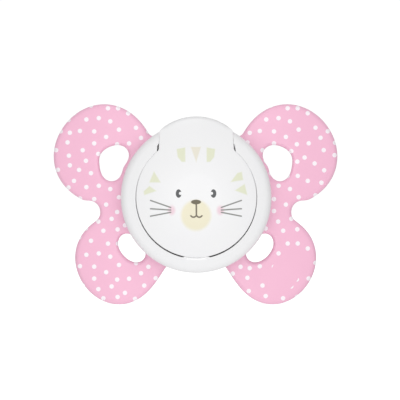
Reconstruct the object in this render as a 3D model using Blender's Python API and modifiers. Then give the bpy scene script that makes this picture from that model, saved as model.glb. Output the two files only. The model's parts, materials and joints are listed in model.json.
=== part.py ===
"""Orthodontic pacifier with a butterfly shield and a fold-flat ring handle.

Frame: +Z up, +X to the right, and +Y from the knob towards the teat. The origin is the centre of the
knob's front face, on the teat's axis, so every depth below is a positive distance behind that face.
Lengths are in metres; MM turns a size in millimetres into metres.
"""

import math

import bmesh
import bpy
from mathutils import Matrix, Vector

MM = 0.001
PART_GAP = 0.3 * MM  # between pieces that touch on the real object
WELD = 0.001 * MM

# Knob: one shallow dome shared by the cover and the ring handle.
DOME_RADIUS = 36.0 * MM
FACE_FLAT_RADIUS = 5.0 * MM  # the dome's middle is flat
DOME_BLOCK_RADIUS = 19.0 * MM  # blanks that pieces are cut from reach past them
DOME_BLOCK_BACK = 12.0 * MM
CLEAR = 2.0 * MM  # how far a cutter reaches past what it cuts
COVER_RADIUS = 13.03 * MM
COVER_WALL = 1.1 * MM
SKIRT_RADIUS = 12.3 * MM
SKIRT_END = 5.6 * MM
TAB_TOP_RADIUS = 12.0 * MM  # the tab's top edge is an arc
TAB_TOP_CENTRE_Z = 5.65 * MM
TAB_HALF_WIDTH_HIGH = 7.95 * MM
TAB_HALF_WIDTH_LOW = 8.2 * MM
TAB_HIGH_Z = 14.6 * MM
TAB_LOW_Z = 10.0 * MM
TAB_END = 7.2 * MM
TAB_WALL_SPREAD = 49  # degrees above level where the wall along the tab's top edge ends

# Ring handle.
RING_RADIUS = 16.4 * MM
RING_LIP_RADIUS = 13.35 * MM
RING_BORE_RADIUS = 13.75 * MM
RING_BACK = 7.6 * MM
RING_EDGE_ROUND = 2.0 * MM
RING_LIP_DEPTH = 0.7 * MM
THUMB_LIP_RADIUS = 13.16 * MM  # at the bottom the lip closes up to the cover
THUMB_LIP_SPREAD = 10.7  # degrees either side of straight down
THUMB_LIP_SUNK = 0.1 * MM  # behind the dome
HINGE_Y = 5.2 * MM
HINGE_Z = 12.3 * MM
EAR_RADIUS = 2.65 * MM
PIVOT_RADIUS = 0.9 * MM
PIVOT_BORE_RADIUS = 1.0 * MM
PIVOT_REACH_X = 5.9 * MM
PIVOT_ROOT_X = 9.6 * MM

# Knob base.
SEAT_FRONT = 8.0 * MM
SEAT_BACK = 9.1 * MM
SEAT_RADIUS = 15.2 * MM
SEAT_BORE_RADIUS = 8.6 * MM
BASE_WALL_RADIUS = 10.9 * MM
BASE_WALL = 1.2 * MM
BASE_WALL_FRONT = 3.9 * MM
WEB_FRONT = 4.5 * MM
WEB_BACK = 5.6 * MM
PIN_RADIUS = 1.9 * MM
PIN_END = 12.6 * MM
BRACKET_HALF_WIDTH = 7.3 * MM
BRACKET_FRONT = 3.9 * MM
BITE = 0.3 * MM  # how far a joined shape reaches into its neighbour
PEG_RADIUS = 0.9 * MM
PEG_CIRCLE_RADIUS = 12.2 * MM
PEG_END = 10.5 * MM
PEG_ANGLES = (45, 135, 225, 315)

# Shield.
SHIELD_FRONT = 9.4 * MM
SHIELD_THICKNESS = 2.3 * MM
SHIELD_EDGE_ROUND = 0.8 * MM
SHIELD_GRID = 3.6 * MM
HUB_RADIUS = 15.6 * MM
NECK_HOLE_RADIUS = 5.6 * MM
PEG_SOCKET_END = 10.8 * MM
FLAT_HALF_SIZE = 9.0 * MM  # the shield stays flat behind the knob, then sweeps back
SWEEP_RADIUS_X = 54.0 * MM
SWEEP_RADIUS_Z = 90.0 * MM

# Teat and its plug.
FLANGE_FRONT = 8.0 * MM
FLANGE_BACK = 9.1 * MM
FLANGE_RADIUS = 8.2 * MM
NECK_RADIUS = 5.2 * MM
TEAT_WALL = 1.5 * MM
TEAT_TIP = 41.0 * MM
PLUG_HEAD_FRONT = 6.6 * MM
PLUG_HEAD_BACK = 7.7 * MM
PLUG_HEAD_RADIUS = 7.4 * MM
PLUG_SHANK_RADIUS = 3.4 * MM
PLUG_BORE_RADIUS = 2.2 * MM
PLUG_END = 14.0 * MM

# Each rounded outline is (centre x, centre z, radius, second harmonic, third harmonic), for the +X side.
# A harmonic is a (cosine, sine) pair that swells the circle two or three times around.
UPPER_LOBE = (19.64, 8.86, 11.2, (0.02, 0.385), (0.134, -0.257))
LOWER_LOBE = (15.62, -12.42, 10.5, (0.0, -1.05), (0.19, 0.41))
UPPER_VENT = (18.02, 7.69, 3.43, (-0.42, -0.41), (0.03, 0.31))
LOWER_VENT = (14.12, -11.2, 2.76, (-0.09, 0.73), (-0.09, -0.15))
UPPER_LOBE_SPAN = (155.0, -65.0)  # degrees, clockwise
LOWER_LOBE_SPAN = (52.0, -161.0)
WAIST_POINT = (20.78, -3.38)  # deepest point of the notch between the lobes
HUB_TOP_END = 58.0  # degrees: where the hub's arc gives way to a lobe
HUB_BOTTOM_END = -68.0

PALE_PINK = (0.92, 0.51, 0.67, 1.0)
WHITE = (0.90, 0.90, 0.91, 1.0)
CLEAR_SILICONE = (0.93, 0.93, 0.90, 1.0)


# ---------------------------------------------------------------- scene and materials


def clear_scene():
    for obj in list(bpy.data.objects):
        bpy.data.objects.remove(obj, do_unlink=True)


def new_collection(name):
    collection = bpy.data.collections.new(name)
    bpy.context.scene.collection.children.link(collection)
    return collection


def plastic(name, colour, roughness, transmission=0.0):
    material = bpy.data.materials.new(name)
    material.use_nodes = True
    shader = material.node_tree.nodes["Principled BSDF"]
    shader.inputs["Base Color"].default_value = colour
    shader.inputs["Roughness"].default_value = roughness
    shader.inputs["Metallic"].default_value = 0.0
    shader.inputs["Transmission Weight"].default_value = transmission
    return material


def object_from_bmesh(bm, name, collection):
    bmesh.ops.recalc_face_normals(bm, faces=bm.faces)
    mesh = bpy.data.meshes.new(name)
    bm.to_mesh(mesh)
    bm.free()
    obj = bpy.data.objects.new(name, mesh)
    collection.objects.link(obj)
    return obj


def evaluated_mesh(obj):
    """A copy of the object's mesh with its modifiers applied."""
    bpy.context.view_layer.update()
    evaluated = obj.evaluated_get(bpy.context.evaluated_depsgraph_get())
    return bpy.data.meshes.new_from_object(evaluated)


def finish_solid(obj, material, sharp_degrees=35):
    obj.data.materials.clear()
    obj.data.materials.append(material)
    obj.data.shade_smooth()
    obj.data.set_sharp_from_angle(angle=math.radians(sharp_degrees))


# ---------------------------------------------------------------- shape helpers


def arc(centre_x, centre_z, radius, start, end, count):
    """Points on a circle from one angle to another, in degrees, both ends included."""
    points = []
    for i in range(count + 1):
        angle = math.radians(start + (end - start) * i / count)
        points.append((centre_x + radius * math.cos(angle), centre_z + radius * math.sin(angle)))
    return points


def wavy_arc(outline, start, end, count):
    """Points on a circle whose radius swells with its second and third harmonics."""
    centre_x, centre_z, radius, second, third = outline
    points = []
    for i in range(count):
        angle = math.radians(start + (end - start) * i / (count - 1))
        reach = radius + second[0] * math.cos(2 * angle) + second[1] * math.sin(2 * angle)
        reach += third[0] * math.cos(3 * angle) + third[1] * math.sin(3 * angle)
        x = (centre_x + reach * math.cos(angle)) * MM
        z = (centre_z + reach * math.sin(angle)) * MM
        points.append((x, z))
    return points


def arc_through(first, middle, last, count):
    """Points strictly between the first and last, on the circle through all three."""
    (ax, az), (bx, bz), (cx, cz) = first, middle, last
    double_area = 2 * (ax * (bz - cz) + bx * (cz - az) + cx * (az - bz))
    a2, b2, c2 = ax * ax + az * az, bx * bx + bz * bz, cx * cx + cz * cz
    x = (a2 * (bz - cz) + b2 * (cz - az) + c2 * (az - bz)) / double_area
    z = (a2 * (cx - bx) + b2 * (ax - cx) + c2 * (bx - ax)) / double_area
    radius = math.hypot(ax - x, az - z)
    start = math.degrees(math.atan2(az - z, ax - x))
    end = math.degrees(math.atan2(cz - z, cx - x))
    if end < start:
        end += 360
    return arc(x, z, radius, start, end, count)[1:-1]


def dome_depth(radius):
    """Depth of the dome behind its flat middle, at a distance from the axis."""
    return math.sqrt(DOME_RADIUS**2 - FACE_FLAT_RADIUS**2) - math.sqrt(DOME_RADIUS**2 - radius**2)


def turned(profile, name, collection, steps, closed=True):
    """A (radius, depth) profile turned about the Y axis. An open profile starts and ends on the axis."""
    bm = bmesh.new()
    verts = [bm.verts.new((radius, depth, 0.0)) for radius, depth in profile]
    for pair in zip(verts, verts[1:]):
        bm.edges.new(pair)
    if closed:
        bm.edges.new((verts[-1], verts[0]))
    guide = object_from_bmesh(bm, name, collection)
    screw = guide.modifiers.new("turn", "SCREW")
    screw.axis = "Y"
    screw.steps = steps
    screw.render_steps = steps
    screw.use_merge_vertices = True
    screw.merge_threshold = WELD
    bm = bmesh.new()
    bm.from_mesh(evaluated_mesh(guide))
    bmesh.ops.remove_doubles(bm, verts=bm.verts, dist=WELD)
    bpy.data.objects.remove(guide, do_unlink=True)
    return object_from_bmesh(bm, name, collection)


def prism(outline, front, back, name, collection):
    """An outline in (x, z), made solid from one depth to another."""
    bm = bmesh.new()
    face = bm.faces.new([bm.verts.new((x, front, z)) for x, z in outline])
    extruded = bmesh.ops.extrude_face_region(bm, geom=[face], use_keep_orig=True)
    back_verts = [item for item in extruded["geom"] if isinstance(item, bmesh.types.BMVert)]
    bmesh.ops.translate(bm, vec=(0, back - front, 0), verts=back_verts)
    return object_from_bmesh(bm, name, collection)


def disc(radius, front, back, name, collection):
    """A round block. Its sides don't line up with the 48 of a dome, which keeps Booleans clean."""
    return prism(arc(0, 0, radius, 1, 361, 50)[:-1], front, back, name, collection)


def box(low, high, name, collection):
    bm = bmesh.new()
    bmesh.ops.create_cube(bm, size=1.0)
    size = [high[i] - low[i] for i in range(3)]
    centre = [(high[i] + low[i]) / 2 for i in range(3)]
    bmesh.ops.scale(bm, vec=size, verts=bm.verts)
    bmesh.ops.translate(bm, vec=centre, verts=bm.verts)
    return object_from_bmesh(bm, name, collection)


def rod(start, end, radius, segments, name, collection):
    """A cylinder between two points."""
    start, end = Vector(start), Vector(end)
    turn = Vector((0, 0, 1)).rotation_difference(end - start).to_matrix().to_4x4()
    bm = bmesh.new()
    bmesh.ops.create_cone(
        bm,
        cap_ends=True,
        segments=segments,
        radius1=radius,
        radius2=radius,
        depth=(end - start).length,
        matrix=Matrix.Translation((start + end) / 2) @ turn,
    )
    return object_from_bmesh(bm, name, collection)


def peg_rods(radius, front, back, name, collection):
    """One rod at each of the weld pegs' places."""
    rods = []
    for angle in PEG_ANGLES:
        x = PEG_CIRCLE_RADIUS * math.cos(math.radians(angle))
        z = PEG_CIRCLE_RADIUS * math.sin(math.radians(angle))
        rods.append(rod((x, front, z), (x, back, z), radius, 12, name, collection))
    return rods


def combine(target, operation, tools):
    """Apply one exact Boolean for each tool, then remove the tools."""
    for tool in tools:
        modifier = target.modifiers.new(tool.name, "BOOLEAN")
        modifier.operation = operation
        modifier.solver = "EXACT"
        modifier.object = tool
        mesh = evaluated_mesh(target)
        target.modifiers.clear()
        target.data = mesh
        bpy.data.objects.remove(tool, do_unlink=True)


# ---------------------------------------------------------------- shield


def half_shield_outline():
    """The +X half of the outline, clockwise from the top of the hub to its bottom."""
    upper = wavy_arc(UPPER_LOBE, *UPPER_LOBE_SPAN, 28)
    lower = wavy_arc(LOWER_LOBE, *LOWER_LOBE_SPAN, 26)
    waist_middle = (WAIST_POINT[0] * MM, WAIST_POINT[1] * MM)
    waist = arc_through(upper[-1], waist_middle, lower[0], 8)
    hub_top = arc(0, 0, HUB_RADIUS, 90, HUB_TOP_END, 4)
    hub_bottom = arc(0, 0, HUB_RADIUS, HUB_BOTTOM_END, -90, 3)
    return hub_top + upper + waist + lower + hub_bottom


def full_shield_outline():
    half = half_shield_outline()
    return half + [(-x, z) for x, z in reversed(half[1:-1])]


def vent_outlines():
    for vent in (UPPER_VENT, LOWER_VENT):
        loop = wavy_arc(vent, 0, 360, 21)[:-1]
        yield loop
        yield [(-x, z) for x, z in loop]


def sweep_back(x, z):
    """How far the dished shield lies behind its flat middle."""
    out = max(0.0, abs(x) - FLAT_HALF_SIZE)
    up = max(0.0, abs(z) - FLAT_HALF_SIZE)
    return out**2 / (2 * SWEEP_RADIUS_X) + up**2 / (2 * SWEEP_RADIUS_Z)


def add_spline(curve, points):
    spline = curve.splines.new("POLY")
    spline.points.add(len(points) - 1)
    for point, (x, z) in zip(spline.points, points):
        point.co = (x, z, 0, 1)
    spline.use_cyclic_u = True


def flat_shield(collection):
    """The undished shield: a filled 2D curve with rounded edges, turned to face -Y."""
    curve = bpy.data.curves.new("shield_outline", "CURVE")
    curve.dimensions = "2D"
    curve.fill_mode = "BOTH"
    curve.extrude = SHIELD_THICKNESS / 2 - SHIELD_EDGE_ROUND
    curve.bevel_depth = SHIELD_EDGE_ROUND
    curve.bevel_resolution = 0
    curve.offset = -SHIELD_EDGE_ROUND
    add_spline(curve, full_shield_outline())
    for loop in vent_outlines():
        add_spline(curve, loop)
    add_spline(curve, arc(0, 0, NECK_HOLE_RADIUS, 0, 360, 32)[:-1])
    guide = bpy.data.objects.new("shield_outline", curve)
    collection.objects.link(guide)
    bm = bmesh.new()
    bm.from_mesh(evaluated_mesh(guide))
    upright = Matrix.Rotation(math.radians(90), 4, "X")
    bmesh.ops.transform(bm, matrix=upright, verts=bm.verts)
    bpy.data.objects.remove(guide, do_unlink=True)
    bmesh.ops.remove_doubles(bm, verts=bm.verts, dist=WELD)
    return bm


def make_shield(parts, cutters, material):
    """The flat outline, cut into a grid so that it can bend, then swept back at its edges."""
    bm = flat_shield(cutters)
    for normal, reach in ((Vector((1, 0, 0)), 9), (Vector((0, 0, 1)), 7)):
        for i in range(-reach, reach + 1):
            everything = bm.verts[:] + bm.edges[:] + bm.faces[:]
            plane = normal * (i * SHIELD_GRID)
            bmesh.ops.bisect_plane(bm, geom=everything, plane_co=plane, plane_no=normal)
    bmesh.ops.triangulate(bm, faces=bm.faces)
    middle = SHIELD_FRONT + SHIELD_THICKNESS / 2
    for vert in bm.verts:
        vert.co.y += middle + sweep_back(vert.co.x, vert.co.z)
    shield = object_from_bmesh(bm, "shield", parts)
    socket_start = SHIELD_FRONT - 1.0 * MM
    sockets = peg_rods(PEG_RADIUS + PART_GAP, socket_start, PEG_SOCKET_END, "peg_socket", cutters)
    combine(shield, "DIFFERENCE", sockets)
    finish_solid(shield, material)


# ---------------------------------------------------------------- teat and plug

# Sections of the teat from flange to tip, in mm: depth, height of the widest line, half width, and how
# far the section reaches above and below that line. It narrows behind the shield, then opens into a broad
# bulb that is rounded towards the palate and flat towards the tongue.
TEAT_SECTIONS = (
    (8.2, 0.0, 5.2, 5.2, 5.2),
    (12.6, 0.0, 5.2, 5.2, 5.2),
    (15.0, 0.0, 4.7, 4.6, 4.6),
    (18.0, 0.1, 4.7, 4.2, 4.2),
    (21.5, 0.3, 5.8, 4.5, 3.8),
    (25.0, 0.7, 7.4, 5.2, 3.8),
    (29.0, 1.1, 8.6, 5.8, 4.2),
    (33.0, 1.3, 8.7, 5.9, 4.2),
    (36.5, 1.2, 7.6, 5.2, 3.7),
    (39.2, 1.0, 5.3, 3.8, 2.7),
    (40.6, 0.9, 2.8, 2.1, 1.5),
)
TEAT_SIDES = 24


def teat_section(depth, spine, half_width, above, below):
    """One ring of points: half an ellipse above the widest line and another below it."""
    ring = []
    for i in range(TEAT_SIDES):
        angle = 2 * math.pi * i / TEAT_SIDES
        reach = above if math.sin(angle) > 0 else below
        z = spine + reach * math.sin(angle)
        ring.append((half_width * math.cos(angle) * MM, depth * MM, z * MM))
    return ring


def teat_skin():
    """The teat's outer surface, open at the flange."""
    bm = bmesh.new()
    rings = [[bm.verts.new(co) for co in teat_section(*section)] for section in TEAT_SECTIONS]
    for here, after in zip(rings, rings[1:]):
        for i in range(TEAT_SIDES):
            j = (i + 1) % TEAT_SIDES
            bm.faces.new((here[i], here[j], after[j], after[i]))
    tip = bm.verts.new((0, TEAT_TIP, TEAT_SECTIONS[-1][1] * MM))
    for i in range(TEAT_SIDES):
        bm.faces.new((rings[-1][i], rings[-1][(i + 1) % TEAT_SIDES], tip))
    return bm


def make_teat(parts, cutters, material):
    teat = object_from_bmesh(teat_skin(), "teat", parts)
    wall = teat.modifiers.new("wall", "SOLIDIFY")
    wall.thickness = TEAT_WALL
    wall.offset = -1
    mesh = evaluated_mesh(teat)
    teat.modifiers.clear()
    teat.data = mesh
    inside_wall = NECK_RADIUS - TEAT_WALL / 2
    profile = (
        (inside_wall, FLANGE_FRONT),
        (FLANGE_RADIUS, FLANGE_FRONT),
        (FLANGE_RADIUS, FLANGE_BACK),
        (inside_wall, FLANGE_BACK),
    )
    combine(teat, "UNION", [turned(profile, "flange", cutters, TEAT_SIDES)])
    finish_solid(teat, material, 60)


def make_teat_plug(parts, material):
    profile = (
        (PLUG_BORE_RADIUS, PLUG_HEAD_FRONT),
        (PLUG_HEAD_RADIUS, PLUG_HEAD_FRONT),
        (PLUG_HEAD_RADIUS, PLUG_HEAD_BACK),
        (PLUG_SHANK_RADIUS, PLUG_HEAD_BACK),
        (PLUG_SHANK_RADIUS, PLUG_END - 0.6 * MM),
        (PLUG_SHANK_RADIUS - 0.6 * MM, PLUG_END),
        (PLUG_BORE_RADIUS, PLUG_END),
    )
    plug = turned(profile, "teat_plug", parts, 28)
    finish_solid(plug, material)


# ---------------------------------------------------------------- knob base


def hinge_bracket(collection):
    """The block under the cover's tab that holds the handle's pivots. Its front follows the cover."""
    top_radius = TAB_TOP_RADIUS - COVER_WALL - PART_GAP
    spread = math.degrees(math.acos(BRACKET_HALF_WIDTH / top_radius))
    outline = arc(0, TAB_TOP_CENTRE_Z, top_radius, spread, 180 - spread, 10)
    foot_radius = BASE_WALL_RADIUS - BITE
    foot_angle = math.degrees(math.acos(BRACKET_HALF_WIDTH / foot_radius))
    outline += arc(0, 0, foot_radius, 180 - foot_angle, foot_angle, 10)
    bracket = prism(outline, BRACKET_FRONT, SEAT_BACK - BITE, "bracket", collection)
    behind_cover = dome_solid(COVER_WALL + PART_GAP, DOME_BLOCK_BACK, "behind_cover", collection)
    combine(bracket, "INTERSECT", [behind_cover])
    return bracket


def make_knob_base(parts, cutters, material):
    wall_inside = BASE_WALL_RADIUS - BASE_WALL
    profile = (
        (wall_inside, BASE_WALL_FRONT),
        (BASE_WALL_RADIUS, BASE_WALL_FRONT),
        (BASE_WALL_RADIUS, SEAT_FRONT),
        (SEAT_RADIUS, SEAT_FRONT),
        (SEAT_RADIUS, SEAT_BACK),
        (SEAT_BORE_RADIUS, SEAT_BACK),
        (SEAT_BORE_RADIUS, SEAT_FRONT),
        (wall_inside, SEAT_FRONT),
    )
    base = turned(profile, "knob_base", parts, 48)
    web_radius = wall_inside + BITE
    web_profile = (
        (0, WEB_FRONT),
        (web_radius, WEB_FRONT),
        (web_radius, WEB_BACK),
        (PIN_RADIUS, WEB_BACK),
        (PIN_RADIUS, PIN_END),
        (0, PIN_END),
    )
    web = turned(web_profile, "web", cutters, 24, closed=False)
    pegs = peg_rods(PEG_RADIUS, SEAT_BACK - BITE, PEG_END, "peg", cutters)
    combine(base, "UNION", [web, hinge_bracket(cutters)] + pegs)
    bores = []
    for side in (-1, 1):
        outer = (side * (BRACKET_HALF_WIDTH + 1.0 * MM), HINGE_Y, HINGE_Z)
        inner = (side * (PIVOT_REACH_X - PART_GAP), HINGE_Y, HINGE_Z)
        bores.append(rod(outer, inner, PIVOT_BORE_RADIUS, 24, "pivot_bore", cutters))
    combine(base, "DIFFERENCE", bores)
    finish_solid(base, material)


# ---------------------------------------------------------------- face cover


def cover_outline():
    """A circle with the hinge tab on top, counter-clockwise from the bottom."""
    low_angle = math.degrees(math.atan2(TAB_LOW_Z, TAB_HALF_WIDTH_LOW))
    right = arc(0, 0, COVER_RADIUS, -90, low_angle, 20)
    tab_spread = math.degrees(math.acos(TAB_HALF_WIDTH_HIGH / TAB_TOP_RADIUS))
    top = arc(0, TAB_TOP_CENTRE_Z, TAB_TOP_RADIUS, tab_spread, 180 - tab_spread, 14)
    left = [(-x, z) for x, z in reversed(right[1:])]
    return right + top + left


def dome_solid(offset, back, name, collection):
    """Everything between the dome, moved back by an offset, and a flat plane behind it."""
    steps = 9
    profile = [(0.0, offset)]
    for i in range(steps + 1):
        radius = FACE_FLAT_RADIUS + (DOME_BLOCK_RADIUS - FACE_FLAT_RADIUS) * i / steps
        profile.append((radius, dome_depth(radius) + offset))
    profile.append((DOME_BLOCK_RADIUS, back))
    profile.append((0.0, back))
    return turned(profile, name, collection, 48, closed=False)


def cover_skirt(collection):
    """The collar that slides over the base's wall, open where the hinge bracket stands."""
    skirt = disc(SKIRT_RADIUS, -CLEAR, SKIRT_END, "skirt", collection)
    room = disc(BASE_WALL_RADIUS + PART_GAP, -2 * CLEAR, SKIRT_END + CLEAR, "wall_room", collection)
    half_width = BRACKET_HALF_WIDTH + PART_GAP
    low = (-half_width, -2 * CLEAR, 0)
    high = (half_width, SKIRT_END + CLEAR, SKIRT_RADIUS + CLEAR)
    combine(skirt, "DIFFERENCE", [room, box(low, high, "bracket_room", collection)])
    return skirt


def tab_top_wall(collection):
    """The wall along the tab's top edge. It ends above the pivots."""
    start, end = TAB_WALL_SPREAD, 180 - TAB_WALL_SPREAD
    outline = arc(0, TAB_TOP_CENTRE_Z, TAB_TOP_RADIUS + CLEAR, start, end, 12)
    outline += arc(0, TAB_TOP_CENTRE_Z, TAB_TOP_RADIUS - COVER_WALL, end, start, 12)
    return prism(outline, -CLEAR, TAB_END + CLEAR, "top_wall", collection)


def make_face_cover(parts, cutters, material):
    """A domed block in the cover's outline, hollowed behind its front except for skirt and top wall."""
    cover = dome_solid(0.0, DOME_BLOCK_BACK, "face_cover", parts)
    block = prism(cover_outline(), -CLEAR, TAB_END, "cover_block", cutters)
    combine(cover, "INTERSECT", [block])
    hollow = dome_solid(COVER_WALL, DOME_BLOCK_BACK, "hollow", cutters)
    combine(hollow, "DIFFERENCE", [cover_skirt(cutters), tab_top_wall(cutters)])
    combine(cover, "DIFFERENCE", [hollow])
    finish_solid(cover, material)


# ---------------------------------------------------------------- ring handle


def ring_profile():
    """Closed section of the ring: domed front, rounded outer edge, thin lip at the cover's seam."""
    profile = []
    front_end = RING_RADIUS - RING_EDGE_ROUND
    for i in range(4):
        radius = RING_LIP_RADIUS + (front_end - RING_LIP_RADIUS) * i / 3
        profile.append((radius, dome_depth(radius)))
    round_centre = dome_depth(front_end) + RING_EDGE_ROUND
    for i in range(1, 6):
        angle = math.radians(90 * i / 5)
        radius = front_end + RING_EDGE_ROUND * math.sin(angle)
        profile.append((radius, round_centre - RING_EDGE_ROUND * math.cos(angle)))
    profile.append((RING_RADIUS, RING_BACK - 0.5 * MM))
    profile.append((RING_RADIUS - 0.5 * MM, RING_BACK))
    profile.append((RING_BORE_RADIUS + 0.4 * MM, RING_BACK))
    profile.append((RING_BORE_RADIUS, RING_BACK - 0.4 * MM))
    lip_front = profile[0][1]
    profile.append((RING_BORE_RADIUS, lip_front + RING_LIP_DEPTH + 0.4 * MM))
    profile.append((RING_LIP_RADIUS, lip_front + RING_LIP_DEPTH))
    return profile


def ring_mouth(collection):
    """The gap between the ring's ends, which holds the cover's tab."""
    low_x = TAB_HALF_WIDTH_LOW + PART_GAP
    high_x = TAB_HALF_WIDTH_HIGH + PART_GAP
    lean = (low_x - high_x) / (TAB_HIGH_Z - TAB_LOW_Z)
    top_z = RING_RADIUS + CLEAR
    side = [(low_x + lean * TAB_LOW_Z, 0), (high_x - lean * (top_z - TAB_HIGH_Z), top_z)]
    outline = side + [(-x, z) for x, z in reversed(side)]
    return prism(outline, -CLEAR, RING_BACK + CLEAR, "mouth", collection)


def above_the_ears(collection):
    """What is cut off above the hinge axis, to round the ears so that they can turn."""
    reach = RING_RADIUS + CLEAR
    block = box((-reach, -CLEAR, HINGE_Z), (reach, RING_BACK + CLEAR, reach), "ear_block", collection)
    left, right = (-reach - CLEAR, HINGE_Y, HINGE_Z), (reach + CLEAR, HINGE_Y, HINGE_Z)
    combine(block, "DIFFERENCE", [rod(left, right, EAR_RADIUS, 40, "ear_round", collection)])
    return block


def thumb_lip(collection):
    """The stretch of lip at the bottom that closes up to the cover, where a thumb lifts the ring."""
    start, end = -90 - THUMB_LIP_SPREAD, -90 + THUMB_LIP_SPREAD
    outline = arc(0, 0, THUMB_LIP_RADIUS, start, end, 6)
    outline += arc(0, 0, RING_LIP_RADIUS + RING_LIP_DEPTH, end, start, 6)
    front = dome_depth(RING_LIP_RADIUS)
    return prism(outline, front + THUMB_LIP_SUNK, front + RING_LIP_DEPTH, "thumb_lip", collection)


def make_ring_handle(parts, cutters, material):
    ring = turned(ring_profile(), "ring_handle", parts, 72)
    combine(ring, "DIFFERENCE", [ring_mouth(cutters), above_the_ears(cutters)])
    pivots = []
    for side in (-1, 1):
        outer = (side * PIVOT_ROOT_X, HINGE_Y, HINGE_Z)
        inner = (side * PIVOT_REACH_X, HINGE_Y, HINGE_Z)
        pivots.append(rod(outer, inner, PIVOT_RADIUS, 24, "pivot", cutters))
    combine(ring, "UNION", pivots + [thumb_lip(cutters)])
    finish_solid(ring, material)
    return ring


def put_origin_on_hinge(ring):
    """Move the ring's origin onto the hinge axis, leaving its shape where it is."""
    hinge = Vector((0, HINGE_Y, HINGE_Z))
    ring.data.transform(Matrix.Translation(-hinge))
    ring.location = hinge


def main():
    clear_scene()
    parts = new_collection("pacifier")
    cutters = new_collection("cutters")
    pink = plastic("pink_plastic", PALE_PINK, 0.35)
    white = plastic("white_plastic", WHITE, 0.25)
    silicone = plastic("clear_silicone", CLEAR_SILICONE, 0.2, 0.8)
    make_shield(parts, cutters, pink)
    make_teat(parts, cutters, silicone)
    make_teat_plug(parts, white)
    make_knob_base(parts, cutters, white)
    make_face_cover(parts, cutters, white)
    ring = make_ring_handle(parts, cutters, white)
    put_origin_on_hinge(ring)


main()
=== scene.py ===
"""Looks of the orthodontic pacifier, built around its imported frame.

Every piece is a fine closed mesh in the row frame (+Z up, +X right, +Y from the knob towards the teat), so
a depth is a distance behind the knob's front. Lengths are in metres; MM turns millimetres into metres.
"""

import json
import math
from functools import partial

import bmesh
import bpy
import numpy as np
from mathutils import Matrix, Vector
from mathutils.geometry import delaunay_2d_cdt


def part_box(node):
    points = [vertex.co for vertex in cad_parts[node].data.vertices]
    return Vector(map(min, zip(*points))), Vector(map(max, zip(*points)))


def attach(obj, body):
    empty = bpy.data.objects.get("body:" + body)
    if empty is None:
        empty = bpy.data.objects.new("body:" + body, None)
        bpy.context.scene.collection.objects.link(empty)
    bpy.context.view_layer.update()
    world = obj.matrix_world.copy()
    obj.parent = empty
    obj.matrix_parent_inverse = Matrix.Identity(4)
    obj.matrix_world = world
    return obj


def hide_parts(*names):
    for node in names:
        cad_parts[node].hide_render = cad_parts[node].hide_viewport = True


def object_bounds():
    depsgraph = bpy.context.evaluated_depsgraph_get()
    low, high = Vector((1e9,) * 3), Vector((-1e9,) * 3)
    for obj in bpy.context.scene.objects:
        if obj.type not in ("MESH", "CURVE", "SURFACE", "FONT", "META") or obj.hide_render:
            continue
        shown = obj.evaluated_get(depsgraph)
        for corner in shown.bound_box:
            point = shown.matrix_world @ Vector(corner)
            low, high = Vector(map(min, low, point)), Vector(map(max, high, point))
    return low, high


MM = 0.001
WELD = 1e-7  # points closer than this become one
RIM_CLEARANCE = 0.55  # of the grid's spacing, that inner points keep from a rim
CORNER_LIMIT = 0.45  # of its shorter side, the most that a rounded corner takes
ROD_ROUND = 0.2  # of a rod's radius, at its ends

# Knob: one shallow dome shared by the cover and the ring handle.
DOME_RADIUS = 36.0 * MM
FACE_FLAT_RADIUS = 5.0 * MM
COVER_WALL = 1.1 * MM
COVER_EDGE_ROUND = 0.08 * MM
TAB_EDGE_ROUND = 0.7 * MM
TAB_ROUND_Z = (14.6 * MM, 15.6 * MM)  # the tab's edge gets rounder from here to there
SKIRT_INSIDE_RADIUS = 11.2 * MM
SKIRT_RADIUS = 12.3 * MM
SKIRT_END = 5.6 * MM
TAB_TOP_RADIUS = 12.0 * MM
TAB_HALF_WIDTH_HIGH = 7.95 * MM
TAB_HALF_WIDTH_LOW = 8.2 * MM
TAB_HIGH_Z = 14.6 * MM
TAB_LOW_Z = 10.0 * MM
TAB_CORNER = 0.4 * MM  # height of the turn from the circle to the tab's straight side
TAB_WALL_SPREAD = 49.0  # degrees above level where the wall along the tab's top edge ends
TAB_WALL_SHY = 0.02 * MM  # keeps that wall just inside the tab's edge, so that the two join cleanly

# Ring handle.
RING_LIP_RADIUS = 13.2 * MM
RING_BORE_RADIUS = 13.75 * MM
RING_EDGE_ROUND = 2.4 * MM
RING_LIP_DEPTH = 0.7 * MM
RING_STEP = 0.4 * MM  # the lip widens to the bore over this depth
RING_BACK_ROUNDS = (0.5 * MM, 0.4 * MM, 0.1 * MM)  # at the back's two edges and the bore's step
RING_LIP_EASE = 0.05 * MM  # size of the small corner cuts on the lip
RING_END_ROUND = 0.05 * MM
RING_STEPS = 330
TAB_GAP = 0.03 * MM  # between the tab's sides and the ring's ends
SLOT_WIDTH = 0.36 * MM  # the gap opens here, beside the ears' inner corners
SLOT_REACH = 1.15 * MM
SLOT_CLOSES_OVER = 0.1 * MM
SEAM_WIDE = 0.29 * MM  # gap between the cover and the ring's lip, near the bottom
SEAM_NARROW = 0.01 * MM  # near the tab
SEAM_DROP = 0.11 * MM  # how much lower the seam runs at the bottom than a circle about the axis
SEAM_SPREAD = (25.0, 122.0)  # degrees from straight down over which it narrows
THUMB_LIP_GAP = 0.015 * MM
THUMB_LIP_SPREAD = (11.0, 13.5)  # degrees from straight down: closed up to, open from
THUMB_CHAMFER_SPREAD = (8.0, 9.6)
THUMB_HIGHLIGHT_RADIUS = 13.25  # of the middle of the painted highlight on that chamfer, a strip painted whiter, in mm
THUMB_HIGHLIGHT_WIDTH = 0.5
THUMB_HIGHLIGHT_HALF_LENGTH = 2.1
THUMB_CHAMFER_WIDTH = 0.48 * MM
THUMB_CHAMFER_DEPTH = 0.26 * MM
EAR_RADIUS = 2.65 * MM
PIVOT_RADIUS = 0.9 * MM
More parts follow.
